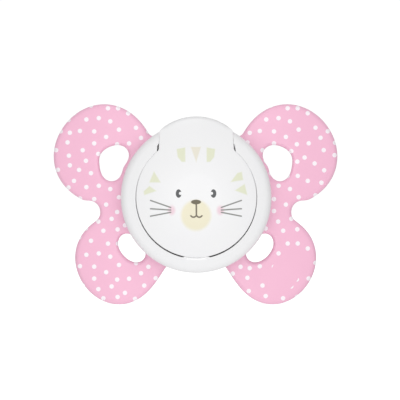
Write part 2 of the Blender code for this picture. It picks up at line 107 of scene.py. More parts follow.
PIVOT_BORE_RADIUS = 1.0 * MM
PIVOT_REACH_X = 5.9 * MM
PIVOT_ROOT_X = 9.6 * MM

# Knob base.
SEAT_FRONT = 8.0 * MM
SEAT_BACK = 9.1 * MM
SEAT_BORE_RADIUS = 8.6 * MM
BASE_WALL_RADIUS = 10.9 * MM
BASE_WALL = 1.2 * MM
WEB_FRONT = 4.5 * MM
WEB_BACK = 5.6 * MM
PIN_RADIUS = 1.9 * MM
BRACKET_HALF_WIDTH = 7.3 * MM
BRACKET_TOP_RADIUS = 10.6 * MM
PEG_RADIUS = 0.9 * MM
PEG_CIRCLE_RADIUS = 12.2 * MM
PEG_END = 10.5 * MM
PEG_ANGLES = (45, 135, 225, 315)
BITE = 0.3 * MM  # how far a joined shape reaches into its neighbour
CLEAR = 1.0 * MM  # how far a cutter reaches past what it cuts
PLASTIC_ROUND = 0.2 * MM

# Shield.
SHIELD_THICKNESS = 2.3 * MM
SHIELD_EDGE_ROUND = 0.85 * MM
HUB_RADIUS = 15.6 * MM
NECK_HOLE_RADIUS = 5.6 * MM
SOCKET_RADIUS = 1.2 * MM
SOCKET_END = 10.8 * MM
FLAT_HALF_SIZE = 9.0 * MM
SWEEP_RADIUS_X = 54.0 * MM
SWEEP_RADIUS_Z = 90.0 * MM

# Teat and plug.
FLANGE_RADIUS = 8.2 * MM
FLANGE_THICKNESS = 1.1 * MM
FLANGE_ROUND = 0.3 * MM
NECK_RADIUS = 5.2 * MM
NECK_FILLET = 0.4 * MM
TEAT_WALL = 1.5 * MM
BULB_START = 33.0 * MM  # from here to the tip the teat closes like an ellipse
PLUG_HEAD_BACK = 7.7 * MM
PLUG_SHANK_RADIUS = 3.4 * MM
PLUG_BORE_RADIUS = 2.2 * MM
PLUG_CHAMFER = 0.6 * MM

# Outlines of the +X half, in mm: centre x, centre z, radius, then the (cosine, sine) parts of the second
# and third harmonics, which swell the circle two or three times around.
UPPER_LOBE = (19.64, 8.86, 11.2, (0.02, 0.385), (0.134, -0.257))
LOWER_LOBE = (15.62, -12.42, 10.5, (0.0, -1.05), (0.19, 0.41))
UPPER_VENT = (18.02, 7.69, 3.43, (-0.42, -0.41), (0.03, 0.31))
LOWER_VENT = (14.12, -11.2, 2.76, (-0.09, 0.73), (-0.09, -0.15))
UPPER_LOBE_SPAN = (155.0, -65.0)  # degrees, clockwise
LOWER_LOBE_SPAN = (52.0, -161.0)
WAIST_POINT = (20.78, -3.38)  # deepest point of the notch between the lobes
HUB_TOP_END = 58.0  # degrees: where the hub's arc gives way to a lobe
HUB_BOTTOM_END = -68.0

# Sections of the teat, in mm: depth, height of the widest line, half width, reach above it and below it.
TEAT_SECTIONS = (
    (10.4, 0.0, 5.2, 5.2, 5.2),
    (12.6, 0.0, 5.2, 5.2, 5.2),
    (15.0, 0.0, 4.7, 4.6, 4.6),
    (18.0, 0.1, 4.7, 4.2, 4.2),
    (21.5, 0.3, 5.8, 4.5, 3.8),
    (25.0, 0.7, 7.4, 5.2, 3.8),
    (29.0, 1.1, 8.6, 5.8, 4.2),
    (33.0, 1.2, 8.7, 5.9, 4.2),
)
TEAT_SIDES = 72
BULB_SPAN = 86  # degrees of the closing ellipse that have rings; the last ring closes at one point
TIP_RISE = 0.004 * MM  # how far that point stands out of the last ring

# Polka dots of one repeat, in mm. They are scattered, and repeat in straight rows and columns.
DOT_SHIFT = (-0.06, 0.06)
DOT_DIAMETER = 0.98
DOT_REPEAT = (39.2, 14.75)
DOTS = (
    (-31.1, 12.8), (-30.4, 10.2), (-30.0, 5.9), (-29.4, 14.3), (-27.9, 11.9), (-27.7, 16.8),
    (-27.6, 9.0), (-27.4, 14.0), (-27.4, 6.9), (-26.5, 3.5), (-25.4, 5.9), (-25.2, 14.4),
    (-24.6, 10.2), (-23.9, 7.9), (-23.8, 16.9), (-22.8, 5.2), (-22.1, 14.3), (-22.1, 11.7),
    (-21.2, 9.4), (-21.1, 17.2), (-20.1, 7.4), (-19.5, 13.1), (-19.1, 4.6), (-18.6, 16.5),
    (-18.3, 10.0), (-17.1, 11.5), (-17.0, 7.7), (-16.9, 4.6), (-16.7, 14.7), (-15.4, 8.6),
    (-14.7, 3.5), (-14.5, 11.7), (-13.2, 7.3), (-13.0, 15.1), (-11.9, 12.9), (-11.7, 3.1),
    (-11.2, 10.2), (-11.1, 5.8), (-10.3, 14.3), (-8.8, 9.1), (-8.7, 11.8),
)
# The stretch of the lower right lobe that stays plain: centre, half sizes and turn in degrees.
PLAIN_PATCH = ((19.7, -16.1), (4.9, 3.1), 65.0)

# Printed face, in mm.
PRINT_CENTRE = (-0.1, 0.15)
WHISKER_HALF_WIDTH = 0.145
MOUTH_HALF_WIDTH = 0.17
SMILE_CUT = 0.22  # the smile's curves end this far below their centres

# Camera. At the exact depth the picture is as wide as the seen width.
CAMERA_DISTANCE = 3.0
SENSOR_WIDTH = 36.0
SEEN_WIDTH = 87.5 * MM
EXACT_DEPTH = 8.0 * MM
LOOK_AT = (0.93 * MM, 12.0 * MM, -0.6125 * MM)
VIEW_TURN = 0.8  # degrees sideways from straight on
VIEW_DROP = 0.7  # degrees down

# Studio light: strengths by direction, seen from the object.
LIGHT_EVEN = 0.665
LIGHT_FORWARDS = 0.3  # more from the front, and as much less from behind
LIGHT_BEHIND = 0.3  # gives that back behind the object
LIGHT_SIDES = 0.2  # less from the sides
LIGHT_POLES = 0.15  # more from above and below
LIGHT_BELOW = 0.15  # more from below than from above
PANEL_EDGE = 0.92  # a bright round panel stands straight ahead, from this cosine on
PANEL_SOFTNESS = 0.12
PANEL_STRENGTH = 1.1
BACKDROP_STRENGTH = 1.05
FLOOR_RADIUS = 1.5


# ---- outlines


def arc(centre_x, centre_z, radius, start, end, count):
    """Points on a circle from one angle to another, in degrees, both ends included."""
    angles = np.radians(np.linspace(start, end, count + 1))
    return np.column_stack([centre_x + radius * np.cos(angles), centre_z + radius * np.sin(angles)])


def wavy_arc(outline, start, end, count):
    """Points on a circle whose radius swells with its second and third harmonics."""
    centre_x, centre_z, radius, second, third = outline
    angles = np.radians(np.linspace(start, end, count))
    reach = radius + second[0] * np.cos(2 * angles) + second[1] * np.sin(2 * angles)
    reach += third[0] * np.cos(3 * angles) + third[1] * np.sin(3 * angles)
    return np.column_stack([centre_x + reach * np.cos(angles), centre_z + reach * np.sin(angles)]) * MM


def arc_through(first, middle, last, count):
    """Points strictly between the first and last, on the circle through all three."""
    (ax, az), (bx, bz), (cx, cz) = first, middle, last
    double_area = 2 * (ax * (bz - cz) + bx * (cz - az) + cx * (az - bz))
    a2, b2, c2 = ax * ax + az * az, bx * bx + bz * bz, cx * cx + cz * cz
    x = (a2 * (bz - cz) + b2 * (cz - az) + c2 * (az - bz)) / double_area
    z = (a2 * (cx - bx) + b2 * (ax - cx) + c2 * (bx - ax)) / double_area
    start = math.degrees(math.atan2(az - z, ax - x))
    end = math.degrees(math.atan2(cz - z, cx - x))
    if end < start:
        end += 360
    return arc(x, z, math.hypot(ax - x, az - z), start, end, count)[1:-1]


def mirrored(half):
    """A closed loop from its +X half, whose first and last points lie on the middle line."""
    other = half[1:-1][::-1] * (-1, 1)
    return np.vstack([half, other])


def resampled(loop, spacing):
    """The same closed loop with its points evenly spaced."""
    closed = np.vstack([loop, loop[:1]])
    steps = np.linalg.norm(np.diff(closed, axis=0), axis=1)
    along = np.concatenate([[0.0], np.cumsum(steps)])
    stations = np.linspace(0.0, along[-1], int(round(along[-1] / spacing)), endpoint=False)
    return np.column_stack([np.interp(stations, along, closed[:, i]) for i in (0, 1)])


def relaxed(loop, passes):
    """The closed loop with its corners rounded, by averaging each point with its neighbours."""
    for _ in range(passes):
        loop = (np.roll(loop, 1, 0) + 2 * loop + np.roll(loop, -1, 0)) / 4
    return loop


def wound(loop, anticlockwise):
    """The loop in the given direction, seen from the front."""
    x, z = loop[:, 0], loop[:, 1]
    area = np.sum(x * np.roll(z, -1) - np.roll(x, -1) * z)
    return loop if (area > 0) == anticlockwise else loop[::-1]


def inset(loop, distance):
    """The closed loop moved to its left, which is where the material lies."""
    ahead = np.roll(loop, -1, 0) - np.roll(loop, 1, 0)
    ahead /= np.linalg.norm(ahead, axis=1)[:, None]
    left = np.column_stack([-ahead[:, 1], ahead[:, 0]])
    return loop + left * np.reshape(distance, (-1, 1))


def inside(points, loops):
    """Whether each point lies in the material, by counting the edges crossed on the way to +X."""
    crossings = np.zeros(len(points), int)
    for loop in loops:
        for (ax, az), (bx, bz) in zip(loop, np.roll(loop, -1, 0)):
            spans = (az > points[:, 1]) != (bz > points[:, 1])
            rise = bz - az if bz != az else 1.0
            x_there = ax + (points[:, 1] - az) * (bx - ax) / rise
            crossings += spans & (points[:, 0] < x_there)
    return crossings % 2 == 1


def angle_at(half_width, radius):
    """Angle above level, in degrees, at which a circle is this far from the middle line."""
    return math.degrees(math.acos(half_width / radius))


def smoothstep(value, low, high):
    share = np.clip((value - low) / (high - low), 0.0, 1.0)
    return share * share * (3 - 2 * share)


# ---- surfaces given as a depth


def dome_depth(radius):
    """Depth of the knob's dome at a distance from the axis, flat in its middle."""
    radius = np.maximum(radius, FACE_FLAT_RADIUS)
    return math.sqrt(DOME_RADIUS**2 - FACE_FLAT_RADIUS**2) - np.sqrt(DOME_RADIUS**2 - radius**2)


def dome(points, offset=0.0):
    return dome_depth(np.linalg.norm(points, axis=1)) + offset


def level(depth):
    """A flat surface at one depth, as a function of the points on it."""
    return lambda points: np.full(len(points), depth)


def sweep_back(points):
    """How far the dished shield lies behind its flat middle."""
    out = np.maximum(0.0, np.abs(points[:, 0]) - FLAT_HALF_SIZE)
    up = np.maximum(0.0, np.abs(points[:, 1]) - FLAT_HALF_SIZE)
    return out**2 / (2 * SWEEP_RADIUS_X) + up**2 / (2 * SWEEP_RADIUS_Z)


# ---- meshes


def object_from_bmesh(bm, name, *materials):
    bmesh.ops.recalc_face_normals(bm, faces=bm.faces)
    mesh = bpy.data.meshes.new(name)
    bm.to_mesh(mesh)
    bm.free()
    for material in materials:
        mesh.materials.append(material)
    obj = bpy.data.objects.new(name, mesh)
    bpy.context.scene.collection.objects.link(obj)
    return obj


def add_row(bm, points, depths):
    return [bm.verts.new((x, y, z)) for (x, z), y in zip(points, depths)]


def bridge(bm, rows, slot=0):
    """Quads between each closed row of vertices and the next."""
    for here, after in zip(rows, rows[1:]):
        for i in range(len(here)):
            j = (i + 1) % len(here)
            face = bm.faces.new((here[i], here[j], after[j], after[i]))
            face.material_index = slot


def fill(bm, rims, depth, spacing, slot=0):
    """Triangles between closed rims, with inner points on a staggered grid that follows the depth."""
    loops = [np.array([(vert.co.x, vert.co.z) for vert in rim]) for rim in rims]
    low, high = loops[0].min(axis=0), loops[0].max(axis=0)
    row_height = spacing * math.sqrt(3) / 2
    grid = []
    for row in range(int((high[1] - low[1]) / row_height) + 1):
        shift = spacing / 2 if row % 2 else 0.0
        for column in range(int((high[0] - low[0]) / spacing) + 1):
            grid.append((low[0] + shift + column * spacing, low[1] + row * row_height))
    grid = np.array(grid)
    grid = grid[inside(grid, loops)]
    border = np.vstack(loops)
    nearest = np.array([np.min(np.sum((border - point) ** 2, axis=1)) for point in grid])
    grid = grid[nearest > (RIM_CLEARANCE * spacing) ** 2]
    verts = [vert for rim in rims for vert in rim]
    verts += add_row(bm, grid, depth(grid))
    flat = [Vector((vert.co.x, vert.co.z)) / MM for vert in verts]
    edges, start = [], 0
    for rim in rims:
        edges += [(start + i, start + (i + 1) % len(rim)) for i in range(len(rim))]
        start += len(rim)
    made, _, faces, origins, _, _ = delaunay_2d_cdt(flat, edges, [], 0, WELD)
    middles = np.array([sum((made[i] for i in face), Vector((0, 0))) / 3 * MM for face in faces])
    for face, keep in zip(faces, inside(middles, loops)):
        if keep:
            made_face = bm.faces.new([verts[origins[i][0]] for i in face])
            made_face.material_index = slot


def quarter_round(radius, steps=5):
    """(inset, drop) pairs from a face to the wall beside it."""
    angles = np.radians(np.linspace(0, 90, steps + 1))
    return [(radius * (1 - math.sin(a)), radius * (1 - math.cos(a))) for a in angles]


def plate(bm, loops, front, back, edge_round, spacing, front_slot=0, sockets=()):
    """A closed plate between two depths, with rounded rims. Sockets are blind holes in its front.

    The edge round is a radius, or a function that gives one for each point of a rim."""
    front_rims, back_rims = [], []
    for i, loop in enumerate(loops):
        loop = wound(loop, anticlockwise=i == 0)
        radii = edge_round(loop) if callable(edge_round) else np.full(len(loop), edge_round)
        front_rows, back_rows = [], []
        for distance, drop in [(share * radii, fall * radii) for share, fall in quarter_round(1.0)]:
            points = inset(loop, distance)
            front_rows.append(add_row(bm, points, front(points) + drop))
            back_rows.insert(0, add_row(bm, points, back(points) - drop))
        bridge(bm, front_rows, front_slot)
        bridge(bm, [front_rows[-1]] + back_rows)
        front_rims.append(front_rows[0])
        back_rims.append(back_rows[-1])
    for loop, end in sockets:
        loop = wound(loop, anticlockwise=False)
        mouth = add_row(bm, loop, front(loop))
        floor = add_row(bm, loop, np.full(len(loop), end))
        bridge(bm, [mouth, floor])
        bm.faces.new(floor)
        front_rims.append(mouth)
    fill(bm, front_rims, front, spacing, front_slot)
    fill(bm, back_rims, back, spacing)


def turned(name, profile, steps, *materials):
    """A closed (radius, depth) profile turned about the Y axis. Points on the axis are welded."""
    bm = bmesh.new()
    angles = 2 * math.pi * np.arange(steps) / steps
    rows = []
    for radius, depth in profile:
        circle = np.column_stack([radius * np.cos(angles), radius * np.sin(angles)])
        rows.append(add_row(bm, circle, np.full(steps, depth)))
    bridge(bm, rows + rows[:1])
    bmesh.ops.remove_doubles(bm, verts=bm.verts, dist=WELD)
    bmesh.ops.dissolve_degenerate(bm, edges=bm.edges, dist=WELD / 10)
    return object_from_bmesh(bm, name, *materials)


def rounded_corner(before, corner, after, reach):
    """Points that round a corner between its neighbours. The curve starts and ends this far from it."""
    start = corner + (before - corner).normalized() * reach
    end = corner + (after - corner).normalized() * reach
    points = []
    for k in range(5):
        t = k / 4
        points.append(start * (1 - t) ** 2 + corner * 2 * t * (1 - t) + end * t**2)
    return [(point.x, point.y) for point in points]


def rounded_profile(corners, radius):
    """A closed (radius, depth) profile with its corners rounded, except on the axis."""
    points = []
    corners = [Vector(corner) for corner in corners]
    for i, corner in enumerate(corners):
        before, after = corners[i - 1], corners[(i + 1) % len(corners)]
        shortest = min((before - corner).length, (after - corner).length)
        if corner.x < WELD:
            points.append((corner.x, corner.y))
        else:
            points += rounded_corner(before, corner, after, min(radius, shortest * CORNER_LIMIT))
    return points


def rod(name, start, end, radius, segments):
    """A cylinder with rounded ends between two points."""
    start, end = Vector(start), Vector(end)
    bm = bmesh.new()
    turn = Vector((0, 0, 1)).rotation_difference(end - start).to_matrix().to_4x4()
    place = Matrix.Translation((start + end) / 2) @ turn
    length = (end - start).length
    bmesh.ops.create_cone(
        bm, cap_ends=True, segments=segments, radius1=radius, radius2=radius, depth=length, matrix=place
    )
    rims = [edge for edge in bm.edges if any(len(face.verts) > 4 for face in edge.link_faces)]
    bmesh.ops.bevel(bm, geom=rims, offset=radius * ROD_ROUND, segments=3, profile=0.5, affect="EDGES")
    return object_from_bmesh(bm, name)


def hinge_rods(name, hinge, outer_x, inner_x, radius):
    """A rod along the hinge's axis on each side of the middle line."""
    rods = []
    for side in (-1, 1):
        outer, inner = (side * outer_x, hinge.y, hinge.z), (side * inner_x, hinge.y, hinge.z)
        rods.append(rod(name, outer, inner, radius, 48))
    return rods


def combine(target, operation, tools):
    """Apply one exact Boolean for each tool, then remove the tools."""
    for tool in tools:
        modifier = target.modifiers.new(tool.name, "BOOLEAN")
        modifier.operation = operation
        modifier.solver = "EXACT"
        modifier.object = tool
        bpy.context.view_layer.update()
        evaluated = target.evaluated_get(bpy.context.evaluated_depsgraph_get())
        mesh = bpy.data.meshes.new_from_object(evaluated)
        target.modifiers.clear()
        target.data = mesh
        bpy.data.objects.remove(tool, do_unlink=True)


def finish_piece(obj, body, node, sharp_degrees=40):
    """Smooth shading, the body that the piece belongs to, and the node that it replaces, which is hidden.
    """
    obj.data.shade_smooth()
    obj.data.set_sharp_from_angle(angle=math.radians(sharp_degrees))
    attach(obj, body)
    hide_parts(node)


# ---- shield


def shield_outline():
    upper = wavy_arc(UPPER_LOBE, *UPPER_LOBE_SPAN, 90)
    lower = wavy_arc(LOWER_LOBE, *LOWER_LOBE_SPAN, 80)
    waist_middle = (WAIST_POINT[0] * MM, WAIST_POINT[1] * MM)
    waist = arc_through(upper[-1], waist_middle, lower[0], 24)
    hub_top = arc(0, 0, HUB_RADIUS, 90, HUB_TOP_END, 16)
    hub_bottom = arc(0, 0, HUB_RADIUS, HUB_BOTTOM_END, -90, 12)
    half = np.vstack([hub_top, upper, waist, lower, hub_bottom])
    return relaxed(resampled(mirrored(half), spacing=0.33 * MM), passes=6)


def peg_places():
    """The x and z of each weld peg, which are also those of its socket in the shield."""
    for angle in np.radians(PEG_ANGLES):
        yield PEG_CIRCLE_RADIUS * math.cos(angle), PEG_CIRCLE_RADIUS * math.sin(angle)


def vent_loops():
    for vent in (UPPER_VENT, LOWER_VENT):
        loop = wavy_arc(vent, 0, 360, 81)[:-1]
        yield loop
        yield loop * (-1, 1)


def make_shield(front_material, plain_material):
    low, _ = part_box("shield")

    def front(points):
        return low.y + sweep_back(points)

    def back(points):
        return front(points) + SHIELD_THICKNESS

    neck_hole = arc(0, 0, NECK_HOLE_RADIUS, 0, 360, 96)[:-1]
    sockets = [(arc(x, z, SOCKET_RADIUS, 0, 360, 24)[:-1], SOCKET_END) for x, z in peg_places()]
    bm = bmesh.new()
    loops = [shield_outline(), *vent_loops(), neck_hole]
    plate(bm, loops, front, back, SHIELD_EDGE_ROUND, spacing=0.9 * MM, front_slot=1, sockets=sockets)
    shield = object_from_bmesh(bm, "butterfly_shield", plain_material, front_material)
    finish_piece(shield, "pacifier", "shield")


# ---- teat and plug


def smooth_sections(per_span):
    """The teat's sections with more between them, on a Catmull-Rom curve, in metres."""
    sections = np.array(TEAT_SECTIONS) * MM
    padded = np.vstack([2 * sections[0] - sections[1], sections, 2 * sections[-1] - sections[-2]])
    for i in range(len(sections) - 1):
        a, b, c, d = padded[i : i + 4]
        for k in range(per_span):
            t = k / per_span
            yield 0.5 * (2 * b + (c - a) * t + (2 * a - 5 * b + 4 * c - d) * t**2
                         + (3 * b - a - 3 * c + d) * t**3)


def teat_ring(bm, depth, spine, half_width, above, below):
    """One ring of vertices: half an ellipse above the widest line and another below it."""
    angles = 2 * math.pi * np.arange(TEAT_SIDES) / TEAT_SIDES
    reach = np.where(np.sin(angles) > 0, above, below)
    points = np.column_stack([half_width * np.cos(angles), spine + reach * np.sin(angles)])
    return add_row(bm, points, np.full(TEAT_SIDES, depth))


def bulb_rings(bm, tip, wall):
    """The closed end from its widest section to the tip, as an ellipse in depth."""
    _, spine, half_width, above, below = [size * MM for size in TEAT_SECTIONS[-1]]
    length = tip - BULB_START
    for angle in np.radians(np.linspace(0, BULB_SPAN, 16)):
        share = math.cos(angle)
        sizes = [(size - wall) * share for size in (half_width, above, below)]
        yield teat_ring(bm, BULB_START + length * math.sin(angle), spine, *sizes)


def flange_profile(front):
    """(radius, depth) pairs from the bore's mouth, over the rounded flange, to the neck."""
    back = front + FLANGE_THICKNESS
    bore = NECK_RADIUS - TEAT_WALL
    return (
        (bore, front + FLANGE_ROUND),
        (bore + FLANGE_ROUND, front),
        (FLANGE_RADIUS - FLANGE_ROUND, front),
        (FLANGE_RADIUS, front + FLANGE_ROUND),
        (FLANGE_RADIUS, back - FLANGE_ROUND),
        (FLANGE_RADIUS - FLANGE_ROUND, back),
        (NECK_RADIUS + NECK_FILLET, back),
        (NECK_RADIUS + NECK_FILLET / 4, back + NECK_FILLET / 4),
        (NECK_RADIUS, back + NECK_FILLET),
    )


def close_tip(bm, ring):
    """A fan of triangles from a ring to a point just beyond its middle."""
    middle = sum((vert.co for vert in ring), Vector()) / len(ring)
    point = bm.verts.new(middle + Vector((0, TIP_RISE, 0)))
    for i in range(len(ring)):
        bm.faces.new((ring[i], ring[(i + 1) % len(ring)], point))


def make_teat(material):
    low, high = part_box("teat")
    tip = high.y
    bm = bmesh.new()
    outer = [teat_ring(bm, depth, 0.0, radius, radius, radius) for radius, depth in flange_profile(low.y)]
    sections = list(smooth_sections(6))
    outer += [teat_ring(bm, *section) for section in sections]
    outer += list(bulb_rings(bm, tip, 0.0))
    inner = []
    for depth, spine, *sizes in sections:
        inner.append(teat_ring(bm, depth, spine, *[size - TEAT_WALL for size in sizes]))
    inner += list(bulb_rings(bm, tip - TEAT_WALL, TEAT_WALL))
    bridge(bm, outer)
    bridge(bm, [outer[0]] + inner)
    close_tip(bm, outer[-1])
    close_tip(bm, inner[-1])
    teat = object_from_bmesh(bm, "silicone_teat", material)
    finish_piece(teat, "pacifier", "teat", sharp_degrees=60)


def make_teat_plug(material):
    low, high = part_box("teat_plug")
    corners = (
        (PLUG_BORE_RADIUS, low.y),
        (high.x, low.y),
        (high.x, PLUG_HEAD_BACK),
        (PLUG_SHANK_RADIUS, PLUG_HEAD_BACK),
        (PLUG_SHANK_RADIUS, high.y - PLUG_CHAMFER),
        (PLUG_SHANK_RADIUS - PLUG_CHAMFER, high.y),
        (PLUG_BORE_RADIUS, high.y),
    )
    plug = turned("neck_plug", rounded_profile(corners, PLASTIC_ROUND), 96, material)
    finish_piece(plug, "pacifier", "teat_plug")


# ---- knob base


def tab_centre_z():
    """Height of the centre of the arc along the tab's top edge."""
    _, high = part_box("face_cover")
    return high.z - TAB_TOP_RADIUS


def hinge_bracket(hinge, front_limit):
    """The block under the cover's tab that holds the handle's pivots. Its front follows the cover."""
    spread = angle_at(BRACKET_HALF_WIDTH, BRACKET_TOP_RADIUS)
    foot_radius = BASE_WALL_RADIUS - BITE
    foot = angle_at(BRACKET_HALF_WIDTH, foot_radius)
    top = arc(0, tab_centre_z(), BRACKET_TOP_RADIUS, spread, 180 - spread, 40)
    outline = np.vstack([top, arc(0, 0, foot_radius, 180 - foot, foot, 30)])
    outline = relaxed(resampled(outline, spacing=0.2 * MM), passes=16)

    def front(points):
        return np.maximum(dome(points, COVER_WALL + BITE), front_limit)

    bm = bmesh.new()
    plate(bm, [outline], front, level(SEAT_BACK - BITE), edge_round=0.15 * MM, spacing=0.8 * MM)
    bracket = object_from_bmesh(bm, "bracket")
    bore_ends = (BRACKET_HALF_WIDTH + CLEAR, PIVOT_REACH_X - BITE)
    combine(bracket, "DIFFERENCE", hinge_rods("pivot_bore", hinge, *bore_ends, PIVOT_BORE_RADIUS))
    return bracket


def make_knob_base(hinge, material):
    low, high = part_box("knob_base")
    wall_inside = BASE_WALL_RADIUS - BASE_WALL
    corners = (
        (wall_inside, low.y),
        (BASE_WALL_RADIUS, low.y),
        (BASE_WALL_RADIUS, SEAT_FRONT),
        (high.x, SEAT_FRONT),
        (high.x, SEAT_BACK),
        (SEAT_BORE_RADIUS, SEAT_BACK),
        (SEAT_BORE_RADIUS, SEAT_FRONT),
        (wall_inside, SEAT_FRONT),
    )
    base = turned("knob_base_body", rounded_profile(corners, PLASTIC_ROUND), 192, material)
    web_corners = (
        (0.0, WEB_FRONT),
        (wall_inside + BITE, WEB_FRONT),
        (wall_inside + BITE, WEB_BACK),
        (PIN_RADIUS, WEB_BACK),
        (PIN_RADIUS, high.y),
        (0.0, high.y),
    )
    tools = [turned("web", rounded_profile(web_corners, PLASTIC_ROUND), 97)]
    for x, z in peg_places():
        tools.append(rod("peg", (x, SEAT_BACK - BITE, z), (x, PEG_END, z), PEG_RADIUS, 24))
    tools.append(hinge_bracket(hinge, low.y))
    combine(base, "UNION", tools)
    finish_piece(base, "pacifier", "knob_base")


# ---- face cover


def seam_width(angles):
    """Gap between the cover and the ring's lip on the +X side: narrow near the tab, wide below."""
    from_bottom = np.degrees(angles) + 90
    return np.interp(from_bottom, SEAM_SPREAD, (SEAM_WIDE, SEAM_NARROW))


def lip_radius(angles):
    """Radius of the ring's lip where it faces the cover."""
    return RING_LIP_RADIUS + SEAM_DROP * np.clip(-np.sin(angles), 0, None)


def tab_half_width(z):
    lean = (TAB_HALF_WIDTH_LOW - TAB_HALF_WIDTH_HIGH) / (TAB_HIGH_Z - TAB_LOW_Z)
    return TAB_HALF_WIDTH_LOW - lean * (z - TAB_LOW_Z)


def cover_outline():
    """A circle with the hinge tab on top. The circle's gap to the ring's lip follows seam_width."""
    low_angle = math.atan2(TAB_LOW_Z, TAB_HALF_WIDTH_LOW)
    angles = np.linspace(-math.pi / 2, low_angle, 200)
    reach = lip_radius(angles) - seam_width(angles)
    right = np.column_stack([reach * np.cos(angles), reach * np.sin(angles)])
    side_z = np.linspace(TAB_LOW_Z + TAB_CORNER, TAB_HIGH_Z, 16)
    side = np.column_stack([tab_half_width(side_z), side_z])
    top = arc(0, tab_centre_z(), TAB_TOP_RADIUS, angle_at(TAB_HALF_WIDTH_HIGH, TAB_TOP_RADIUS), 90, 60)
    return relaxed(resampled(mirrored(np.vstack([right, side, top])), spacing=0.14 * MM), passes=4)


def skirt_solid():
    """The collar that slides over the base's wall, open where the hinge bracket stands."""
    half_width = BRACKET_HALF_WIDTH + BITE
    outer_end = angle_at(half_width, SKIRT_RADIUS)
    inner_end = angle_at(half_width, SKIRT_INSIDE_RADIUS)
    outer = arc(0, 0, SKIRT_RADIUS, -180 - outer_end, outer_end, 240)
    inner = arc(0, 0, SKIRT_INSIDE_RADIUS, inner_end, -180 - inner_end, 240)
    outline = relaxed(resampled(np.vstack([outer, inner]), spacing=0.2 * MM), passes=12)
    front = partial(dome, offset=COVER_WALL / 2)
    bm = bmesh.new()
    plate(bm, [outline], front, level(SKIRT_END), edge_round=0.1 * MM, spacing=0.8 * MM)
    return object_from_bmesh(bm, "skirt")


def tab_wall_solid():
    """The wall along the tab's top edge. It ends above the pivots."""
    _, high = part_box("face_cover")
    start, end = TAB_WALL_SPREAD, 180 - TAB_WALL_SPREAD
    outer = arc(0, tab_centre_z(), TAB_TOP_RADIUS - TAB_WALL_SHY, start, end, 60)
    inner = arc(0, tab_centre_z(), TAB_TOP_RADIUS - COVER_WALL, end, start, 60)
    outline = relaxed(resampled(np.vstack([outer, inner]), spacing=0.15 * MM), passes=14)
    front = partial(dome, offset=COVER_WALL / 2)
    bm = bmesh.new()
    plate(bm, [outline], front, level(high.y), edge_round=0.15 * MM, spacing=0.7 * MM)
    return object_from_bmesh(bm, "tab_wall")


def cover_edge_round(points):
    """A crisp edge beside the ring, and a soft one along the tab's top."""
    softer = TAB_EDGE_ROUND - COVER_EDGE_ROUND
    return COVER_EDGE_ROUND + softer * smoothstep(points[:, 1], *TAB_ROUND_Z)


def make_face_cover(printed_material, plain_material):
    bm = bmesh.new()
    back = partial(dome, offset=COVER_WALL)
    plate(bm, [cover_outline()], dome, back, cover_edge_round, spacing=0.6 * MM, front_slot=1)
    cover = object_from_bmesh(bm, "domed_face_cover", plain_material, printed_material)
    combine(cover, "UNION", [skirt_solid(), tab_wall_solid()])
    finish_piece(cover, "pacifier", "face_cover")


# ---- ring handle


def ring_section():
    """Closed (radius, depth) section: domed front, rounded edges, and a thin lip at the cover's seam."""
    _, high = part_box("ring_handle")
    outer, back = high.x, high.y
    round_centre = outer - RING_EDGE_ROUND
    lean = math.asin(round_centre / (DOME_RADIUS - RING_EDGE_ROUND))
    front_end = round_centre + RING_EDGE_ROUND * math.sin(lean)
    round_depth = dome_depth(front_end) + RING_EDGE_ROUND * math.cos(lean)
    lip_front = dome_depth(RING_LIP_RADIUS)
    lip_back = lip_front + RING_LIP_DEPTH
    section = []
    for radius in np.linspace(RING_LIP_RADIUS + RING_LIP_EASE, front_end, 9):
        section.append((radius, dome_depth(radius)))
    for angle in np.linspace(lean, math.pi / 2, 14)[1:]:
        radius = round_centre + RING_EDGE_ROUND * math.sin(angle)
        section.append((radius, round_depth - RING_EDGE_ROUND * math.cos(angle)))
    step = lip_back + RING_STEP
    corners = ((outer, back), (RING_BORE_RADIUS, back), (RING_BORE_RADIUS, step), (RING_LIP_RADIUS, step))
    corners = [Vector(corner) for corner in corners]
    for corner, after, reach in zip(corners, corners[1:], RING_BACK_ROUNDS):
        section += rounded_corner(Vector(section[-1]), corner, after, reach)
    section.append((RING_LIP_RADIUS + 2 * RING_LIP_EASE, lip_back + RING_LIP_EASE))
    section.append((RING_LIP_RADIUS, lip_back - RING_LIP_EASE))
    section.append((RING_LIP_RADIUS, lip_front + 3 * RING_LIP_EASE))
    section.append((RING_LIP_RADIUS + RING_LIP_EASE / 5, lip_front + RING_LIP_EASE))
    return wound(np.array(section), anticlockwise=True)


def thumb_lip(section, angle):
    """The section at an angle: at the bottom the lip closes up to the cover and gets a chamfer that faces
    the front light; the ring's material also paints a highlight on it.
    """
    from_bottom = abs(math.degrees(angle) + 90)
    closed = 1 - smoothstep(from_bottom, *THUMB_LIP_SPREAD)
    chamfered = 1 - smoothstep(from_bottom, *THUMB_CHAMFER_SPREAD)
    shaped = section.copy()
    reach = seam_width(-math.pi / 2) - THUMB_LIP_GAP
    outwards = lip_radius(angle) - RING_LIP_RADIUS - reach * closed
    near_lip = 1 - smoothstep(shaped[:, 0], RING_LIP_RADIUS, RING_BORE_RADIUS)
    shaped[:, 0] += outwards * near_lip
    lip = RING_LIP_RADIUS + outwards
    front = shaped[:, 1] < dome_depth(RING_LIP_RADIUS) + RING_LIP_DEPTH / 2
    slope = np.clip(1 - (shaped[:, 0] - lip) / THUMB_CHAMFER_WIDTH, 0, 1)
    shaped[:, 1] += np.where(front, THUMB_CHAMFER_DEPTH * chamfered * slope, 0)
    return shaped


